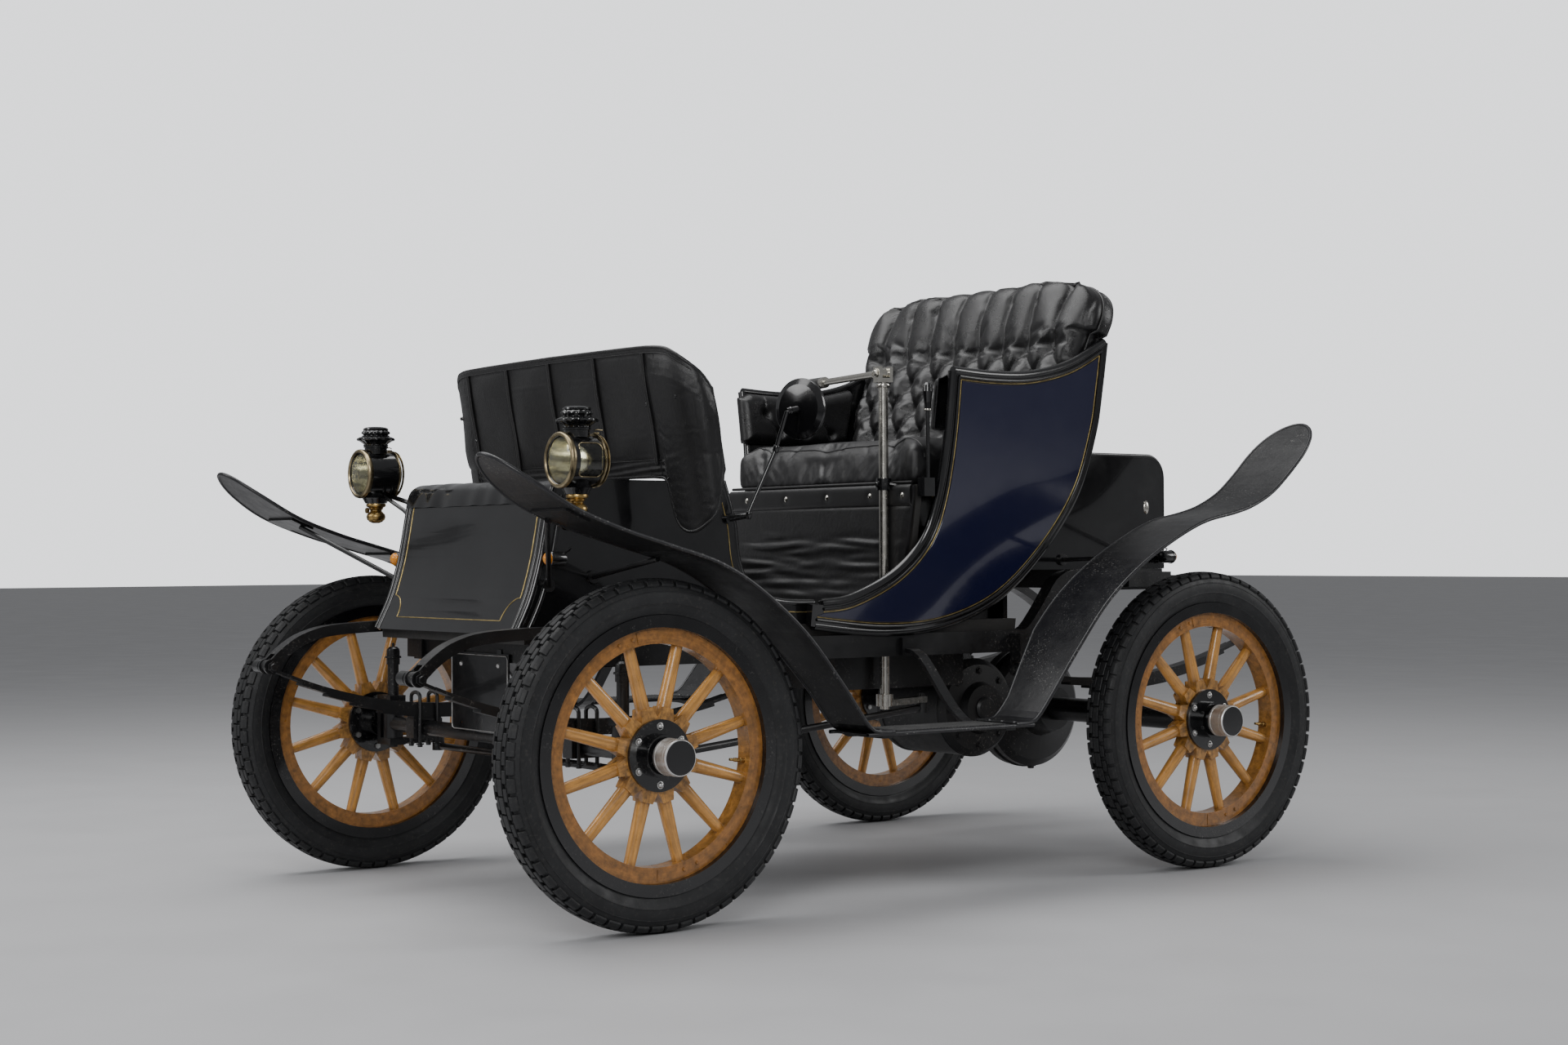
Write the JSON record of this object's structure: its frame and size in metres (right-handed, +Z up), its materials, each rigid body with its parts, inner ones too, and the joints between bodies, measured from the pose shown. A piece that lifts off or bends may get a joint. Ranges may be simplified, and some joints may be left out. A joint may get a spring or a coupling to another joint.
{
  "type": "early electric runabout car",
  "caption": "Brass era electric runabout: open two-seat body, tiller steering, wood spoke wheels, leaf springs, swept fenders, leather dash and oil lamps.",
  "frame": {"origin": "on the floor, under the middle of the car's overall box", "axes": "+Z up, -Y forward, +X to the car's left"},
  "size_m": [1.556, 2.608, 1.5561],
  "materials": {
    "black_enamel": "semi-gloss black enamel, a little dusty",
    "spring_steel": "satin black leaf springs",
    "battery_case": "dull black case",
    "body_black": "gloss black coach paint with thin gold lines",
    "body_navy": "gloss navy blue coach paint",
    "floor_wood": "dark painted boards",
    "black_leather": "buttoned black leather, soft sheen",
    "dash_leather": "smooth black dash leather with piped pleats",
    "fender_black": "satin black fenders with worn beads",
    "lamp_black": "gloss black lamp bodies",
    "lamp_glass": "clear bevelled lamp glass",
    "aged_brass": "aged brass",
    "amber_glass": "amber lens",
    "plate_black": "black plate with a pale line",
    "nickel": "worn nickel plate",
    "tyre_rubber": "charcoal rubber",
    "spoke_wood": "varnished hickory"
  },
  "bodies": {
    "chassis": {"chassis_rails": "black_enamel", "cross_members": "black_enamel", "spring_horns": "black_enamel", "spring_hangers": "black_enamel", "front_springs": "spring_steel", "rear_springs": "spring_steel", "front_axle": "black_enamel", "rear_axle": "black_enamel", "drive_motor": "black_enamel", "battery_blocks": "battery_case", "front_panel": "body_black", "front_box_sides": "body_black", "front_box_top": "body_black", "front_bulkhead": "body_black", "body_floor": "floor_wood", "side_panels": "body_navy", "seat_riser": "black_leather", "seat_cushion": "black_leather", "seat_back_shell": "body_black", "seat_back_cushion": "black_leather", "seat_side_pads": "black_leather", "seat_apron": "black_leather", "rear_box": "body_black", "front_fenders": "fender_black", "rear_fenders": "fender_black", "side_steps": "fender_black", "fender_irons": "black_enamel", "step_irons": "black_enamel", "leather_dash": "dash_leather", "dash_stays": "black_enamel", "headlamps": "lamp_black", "headlamp_lenses": "lamp_glass", "headlamp_founts": "aged_brass", "indicators": "amber_glass", "mirror": "black_enamel", "number_plate": "plate_black", "control_lever": "black_enamel"},
    "tiller_column": {"tiller_post": "nickel"},
    "tiller_bar": {"tiller_bar": "nickel"},
    "drag_link": {"drag_link": "black_enamel"},
    "tie_rod": {"tie_rod": "black_enamel"},
    "steering_knuckle_left": {"knuckle_left": "black_enamel"},
    "steering_knuckle_right": {"knuckle_right": "black_enamel"},
    "rear_lid": {"rear_lid": "body_black"},
    "wheel_front_left": {"tyre_front_left": "tyre_rubber", "spokes_front_left": "spoke_wood", "hub_front_left": "black_enamel"},
    "wheel_front_right": {"tyre_front_right": "tyre_rubber", "spokes_front_right": "spoke_wood", "hub_front_right": "black_enamel"},
    "wheel_rear_left": {"tyre_rear_left": "tyre_rubber", "spokes_rear_left": "spoke_wood", "hub_rear_left": "black_enamel"},
    "wheel_rear_right": {"tyre_rear_right": "tyre_rubber", "spokes_rear_right": "spoke_wood", "hub_rear_right": "black_enamel"}
  },
  "joints": [
    {"name": "steer", "type": "hinge", "parent": "chassis", "child": "tiller_column", "pos_m": [0.3, 0.072, 0.8], "axis": [0, 0, 1], "range_deg": [-25, 25]},
    {"name": "tiller_fold", "type": "hinge", "parent": "tiller_column", "child": "tiller_bar", "pos_m": [0.3, 0.072, 1.268], "axis": [0.2023, 0.9793, 0], "range_deg": [0, 80]},
    {"name": "knuckle_left_turn", "type": "hinge", "parent": "chassis", "child": "steering_knuckle_left", "pos_m": [0.55, -0.867, 0.381], "axis": [0, 0, 1], "range_deg": [-25, 25]},
    {"name": "knuckle_right_turn", "type": "hinge", "parent": "chassis", "child": "steering_knuckle_right", "pos_m": [-0.55, -0.867, 0.381], "axis": [0, 0, 1], "range_deg": [-25, 25]},
    {"name": "drag_link_pivot", "type": "hinge", "parent": "tiller_column", "child": "drag_link", "pos_m": [0.24, 0.242, 0.42], "axis": [0, 0, 1], "range_deg": [-25, 25]},
    {"name": "tie_rod_pivot", "type": "hinge", "parent": "steering_knuckle_left", "child": "tie_rod", "pos_m": [0.55, -0.737, 0.33], "axis": [0, 0, 1], "range_deg": [-25, 25]},
    {"name": "rear_lid_hinge", "type": "hinge", "parent": "chassis", "child": "rear_lid", "pos_m": [0, 0.678, 1.078], "axis": [1, 0, 0], "range_deg": [0, 75]},
    {"name": "wheel_front_left_spin", "type": "hinge", "parent": "steering_knuckle_left", "child": "wheel_front_left", "pos_m": [0.67, -0.867, 0.381], "axis": [1, 0, 0], "continuous": true},
    {"name": "wheel_front_right_spin", "type": "hinge", "parent": "steering_knuckle_right", "child": "wheel_front_right", "pos_m": [-0.67, -0.867, 0.381], "axis": [1, 0, 0], "continuous": true},
    {"name": "wheel_rear_left_spin", "type": "hinge", "parent": "chassis", "child": "wheel_rear_left", "pos_m": [0.67, 0.823, 0.381], "axis": [1, 0, 0], "continuous": true},
    {"name": "wheel_rear_right_spin", "type": "hinge", "parent": "chassis", "child": "wheel_rear_right", "pos_m": [-0.67, 0.823, 0.381], "axis": [1, 0, 0], "continuous": true}
  ],
  "couplings": [
    {"joint": "knuckle_left_turn", "follows": "steer", "ratio": 1},
    {"joint": "knuckle_right_turn", "follows": "steer", "ratio": 1},
    {"joint": "drag_link_pivot", "follows": "steer", "ratio": -1},
    {"joint": "tie_rod_pivot", "follows": "steer", "ratio": -1}
  ]
}
